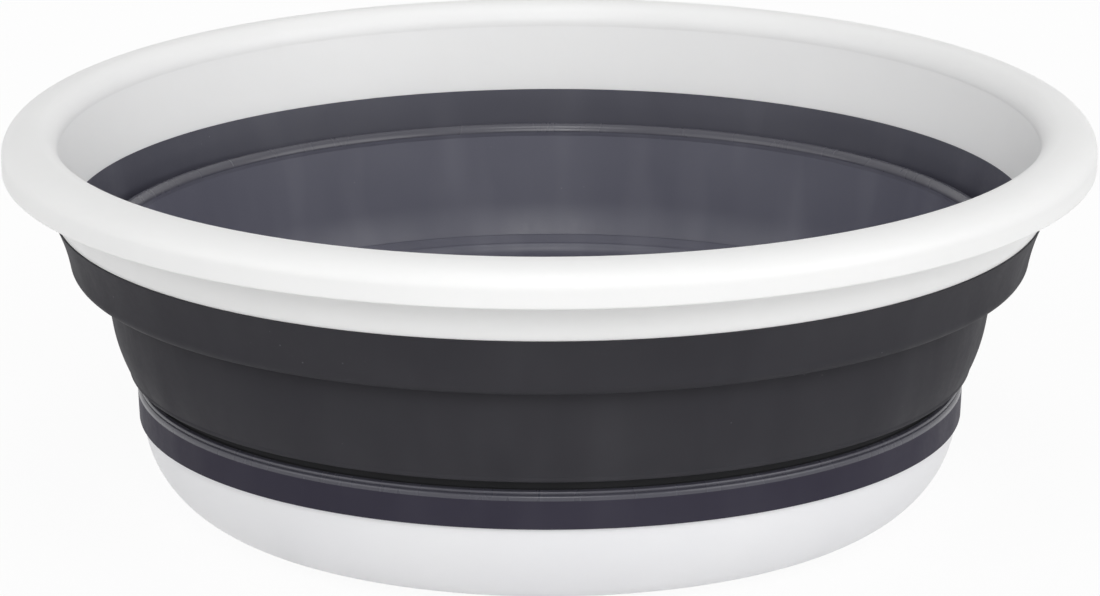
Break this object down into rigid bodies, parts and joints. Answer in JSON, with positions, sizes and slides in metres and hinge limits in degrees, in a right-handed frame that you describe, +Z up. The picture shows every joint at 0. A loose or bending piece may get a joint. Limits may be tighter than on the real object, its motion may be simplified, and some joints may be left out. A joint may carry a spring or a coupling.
{
  "type": "washing up bowl",
  "caption": "Round washing up bowl with a rolled rim, a stepped rubber wall that folds flat at its living hinges, and a dish-shaped base.",
  "frame": {"origin": "centre of the underside, on the surface that the bowl stands on", "axes": "+Z up along the bowl's axis; the bowl is round, so X and Y are free"},
  "size_m": [0.37, 0.37, 0.1334],
  "materials": {
    "rim_plastic": "satin",
    "wall_rubber": "matte",
    "base_plastic": "satin"
  },
  "bodies": {
    "base_body": {"base": "base_plastic", "wall_lower_ring": "wall_rubber"},
    "fold_body": {"wall_fold_ring": "wall_rubber"},
    "rim_body": {"rim": "rim_plastic", "wall_upper_ring": "wall_rubber"}
  },
  "joints": [
    {"name": "collapse", "type": "slide", "parent": "base_body", "child": "rim_body", "axis": [0, 0, 1], "range_m": [-0.08, 0]},
    {"name": "fold", "type": "slide", "parent": "base_body", "child": "fold_body", "axis": [0, 0, 1], "range_m": [-0.04, 0]}
  ],
  "couplings": [
    {"joint": "fold", "follows": "collapse", "ratio": 0.5}
  ]
}
